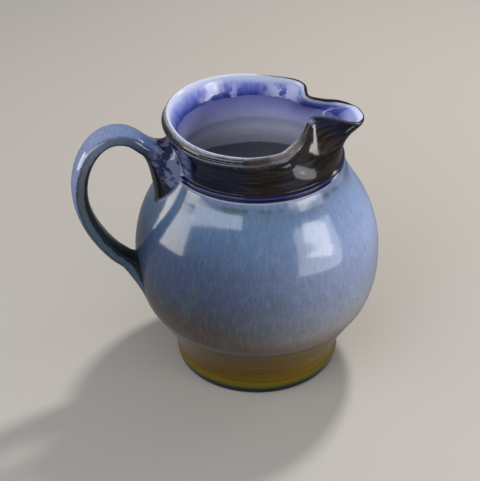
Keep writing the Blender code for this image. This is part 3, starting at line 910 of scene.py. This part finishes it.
def handle_glaze():
    """Blue-grey glaze, paler on the outside of the strap, that breaks to black along its edges. Grey
    and navy patches on the upper join are painted reflections, and a pale line along its sides where
    it meets the pot is a painted highlight.
    """
    glaze = Glaze("strap_glaze", 0.09)
    run = glaze.mark("along_strap")
    outer = glaze.mark("round_strap")
    to_the_sides = glaze.math("ABSOLUTE", glaze.mark("across_strap"))
    blotch = glaze.noise(glaze.block(6.0), 3.0, 0.6)
    grain = glaze.noise(glaze.block(1.3), 3.0, 0.6)
    outside = glaze.ramp(run, (0.0, screen(66, 82, 120)), (30.0, screen(112, 124, 156)),
                         (64.0, screen(98, 114, 154)), (84.0, screen(64, 80, 106)),
                         (150.0, screen(54, 68, 88)))
    middle = glaze.ramp(run, (0.0, screen(40, 50, 78)), (30.0, screen(84, 94, 110)),
                        (60.0, screen(66, 70, 72)), (90.0, screen(62, 76, 92)),
                        (150.0, screen(54, 68, 86)))
    wobble = glaze.plus(outer, glaze.times(glaze.plus(blotch, -0.5), 0.5))
    colour = glaze.mix(glaze.fade(wobble, 0.35, 0.75), middle, outside)
    colour = glaze.mix(glaze.times(glaze.fade(grain, 0.5, 0.64), 0.35), colour, screen(44, 54, 80))
    ridge = glaze.times(glaze.band(wobble, 0.40, 0.22), glaze.fade(run, 10.0, 60.0))
    colour = glaze.mix(glaze.times(ridge, 0.75), colour, screen(34, 38, 44))
    inner = glaze.fade(wobble, -0.12, -0.42)
    colour = glaze.mix(glaze.times(inner, 0.95), colour, screen(16, 17, 20))
    upper = glaze.fade(glaze.z, 95.0, 110.0)
    join = glaze.times(glaze.mark("at_pot"), upper)
    # Painted reflections: grey and navy patches over the upper join.
    painted_reflection_patches = glaze.mix(glaze.fade(blotch, 0.46, 0.56), screen(84, 92, 120), screen(22, 28, 58))
    colour = glaze.mix(glaze.times(glaze.fade(join, 0.0, 0.3), glaze.fade(outer, -0.7, -0.3)),
                       colour, painted_reflection_patches)
    # Painted highlight: a pale line along the sides of the upper join where it meets the pot.
    fillet_painted_highlight = glaze.times(glaze.fade(join, 0.78, 0.92), glaze.fade(to_the_sides, 0.2, 0.6))
    colour = glaze.mix(glaze.times(fillet_painted_highlight, 0.8), colour, screen(136, 142, 168))
    glaze.uneven(glaze.noise(glaze.block(7.0), 1.0), 0.10)
    return glaze.finish(colour)


# ---------------------------------------------------------------- the pitcher


def make_pot(pot):
    """The four thrown pieces. Each has its own glaze outside and shares the one inside."""
    columns = len(pot.places)
    spout_from = SPOUT_FROM * COLUMNS_PER_POINT
    spout_to = SPOUT_TO * COLUMNS_PER_POINT
    belly_row = FOOT_ROWS - 1
    neck_row = belly_row + BELLY_ROWS
    start_row = neck_row + BEAD_ROWS
    root_row = start_row + round(SPOUT_ROOT * NECK_ROWS)
    inner = inner_glaze()
    dark = neck_glaze()
    neck, spout = [], []
    for row in range(neck_row, pot.top):
        for column in range(columns):
            in_spout = row >= root_row and spout_from <= column < spout_to
            (spout if in_spout else neck).append((row, column))

    def rows(first, last):
        return [(row, column) for row in range(first, last) for column in range(columns)]

    pieces = (
        (pot.piece("foot_glazed", rows(0, belly_row), [foot_glaze(), inner]),
         "foot", "olive_glaze"),
        (pot.piece("belly_glazed", rows(belly_row, neck_row), [belly_glaze(), inner]),
         "belly", "blue_glaze"),
        (pot.piece("neck_glazed", neck, [dark, inner]), "neck_collar", "dark_glaze"),
        (pot.piece("spout_glazed", spout, [dark, inner]), "spout", "dark_glaze"),
    )
    for piece, node, slot in pieces:
        stand_for(piece, node)


def stand_for(piece, node):
    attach(piece, "root")
    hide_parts(node)


# ---------------------------------------------------------------- studio

CAMERA_PLACE = (-0.1754, -0.7598, 0.5979)
CAMERA_TURN = (-0.74, 33.675, -0.522)  # degrees: yaw from the studio's depth, pitch down, roll
STUDIO_TURN = -13.0  # degrees from the studio's left-to-right to the line from handle to spout
LENS = 116.9
SENSOR = 36.0
LIGHT_AIM = (0.0, 0.0, 0.09)
WORLD_COLOUR = (0.20, 0.20, 0.21, 1.0)
FLOOR_HALF = 4.0
FLOOR_DROP = 0.0002  # keeps the floor clear of the underside


def studio_turn():
    return Matrix.Rotation(math.radians(STUDIO_TURN), 3, "Z")


def make_camera():
    yaw, pitch, roll = (math.radians(angle) for angle in CAMERA_TURN)
    ahead = Vector((math.sin(yaw) * math.cos(pitch), math.cos(yaw) * math.cos(pitch),
                    -math.sin(pitch)))
    level = Vector((math.cos(yaw), -math.sin(yaw), 0.0))
    above = level.cross(ahead)
    right = math.cos(roll) * level + math.sin(roll) * above
    up = math.cos(roll) * above - math.sin(roll) * level
    axes = studio_turn() @ Matrix((right, up, -ahead)).transposed()
    data = bpy.data.cameras.new("camera")
    data.sensor_fit = "HORIZONTAL"
    data.sensor_width = SENSOR
    data.lens = LENS
    camera = bpy.data.objects.new("camera", data)
    camera.matrix_world = Matrix.Translation(CAMERA_PLACE) @ axes.to_4x4()
    bpy.context.scene.collection.objects.link(camera)
    bpy.context.scene.camera = camera


def panel(name, azimuth, distance, middle_height, width, height, radiance, colour, roll=0.0):
    """A soft box that faces the pot's axis.

    Azimuth is in degrees from the studio's right. Roll is in degrees, and lifts the end of the
    box that lies further round in azimuth.
    """
    data = bpy.data.lights.new(name, "AREA")
    data.shape = "RECTANGLE"
    data.size = width
    data.size_y = height
    data.energy = radiance * math.pi * width * height
    data.color = colour
    light = bpy.data.objects.new(name, data)
    turn = math.radians(azimuth + STUDIO_TURN)
    place = Vector((distance * math.cos(turn), distance * math.sin(turn), middle_height))
    aim = (Vector(LIGHT_AIM) - place).to_track_quat("-Z", "Y").to_matrix()
    aim = aim @ Matrix.Rotation(math.radians(roll), 3, "Z")
    light.matrix_world = Matrix.Translation(place) @ aim.to_4x4()
    bpy.context.scene.collection.objects.link(light)
    return light


def make_lights():
    """The panels whose reflections show in the glaze, and three soft lights that don't reflect."""
    panel("front_right_bright", -29.0, 0.62, 0.24, 0.30, 0.13, 6.0, (1.0, 0.99, 0.97), -28.0)
    panel("front_right_dim", -31.0, 0.66, 0.17, 0.54, 0.31, 3.6, (0.98, 0.99, 1.0), -10.0)
    panel("front_left_window", -137.0, 0.67, 0.47, 0.76, 0.20, 5.0, (0.92, 0.97, 1.08), 18.0)
    panel("back_left_wall", 178.0, 0.72, 0.18, 0.58, 0.24, 5.6, (1.0, 0.94, 0.84), 14.0)
    panel("right_wall", 27.0, 0.70, 0.42, 0.20, 0.15, 7.5, (1.0, 0.99, 0.96), 20.0)
    skylight = panel("back_right_skylight", 60.0, 0.60, 0.92, 0.12, 0.12, 270.0, (1.0, 0.95, 0.92))
    right_fill = panel("right_fill", 10.0, 0.90, 0.40, 0.80, 0.60, 0.9, (1.0, 0.96, 0.95))
    fill = panel("front_fill", -100.0, 0.92, 0.95, 1.30, 1.00, 2.15, (1.0, 1.0, 1.0))
    for soft in (skylight, right_fill, fill):
        soft.visible_glossy = False
    world = bpy.data.worlds.new("studio")
    world.use_nodes = True
    world.node_tree.nodes["Background"].inputs[0].default_value = WORLD_COLOUR
    bpy.context.scene.world = world
    bpy.context.scene.view_settings.view_transform = "Standard"


def make_floor():
    material = bpy.data.materials.new("floor")
    material.use_nodes = True
    shader = material.node_tree.nodes["Principled BSDF"]
    shader.inputs["Base Color"].default_value = (*screen(150, 147, 142), 1.0)
    shader.inputs["Roughness"].default_value = 0.6
    mesh = bpy.data.meshes.new("floor")
    corners = [(x * FLOOR_HALF, y * FLOOR_HALF, 0)
               for x, y in ((-1, -1), (1, -1), (1, 1), (-1, 1))]
    mesh.from_pydata(corners, [], [(0, 1, 2, 3)])
    mesh.materials.append(material)
    floor = bpy.data.objects.new("floor", mesh)
    floor.location.z = -FLOOR_DROP
    floor.visible_glossy = False  # a pale floor would show in the dark glaze
    bpy.context.scene.collection.objects.link(floor)


def main():
    pot = Pot()
    make_pot(pot)
    nodes = ("upper_handle_join", "handle", "lower_handle_join")
    for piece, node in zip(make_handle(pot, handle_glaze()), nodes):
        stand_for(piece, node)
    make_camera()
    make_lights()
    make_floor()


main()

bpy.context.view_layer.update()
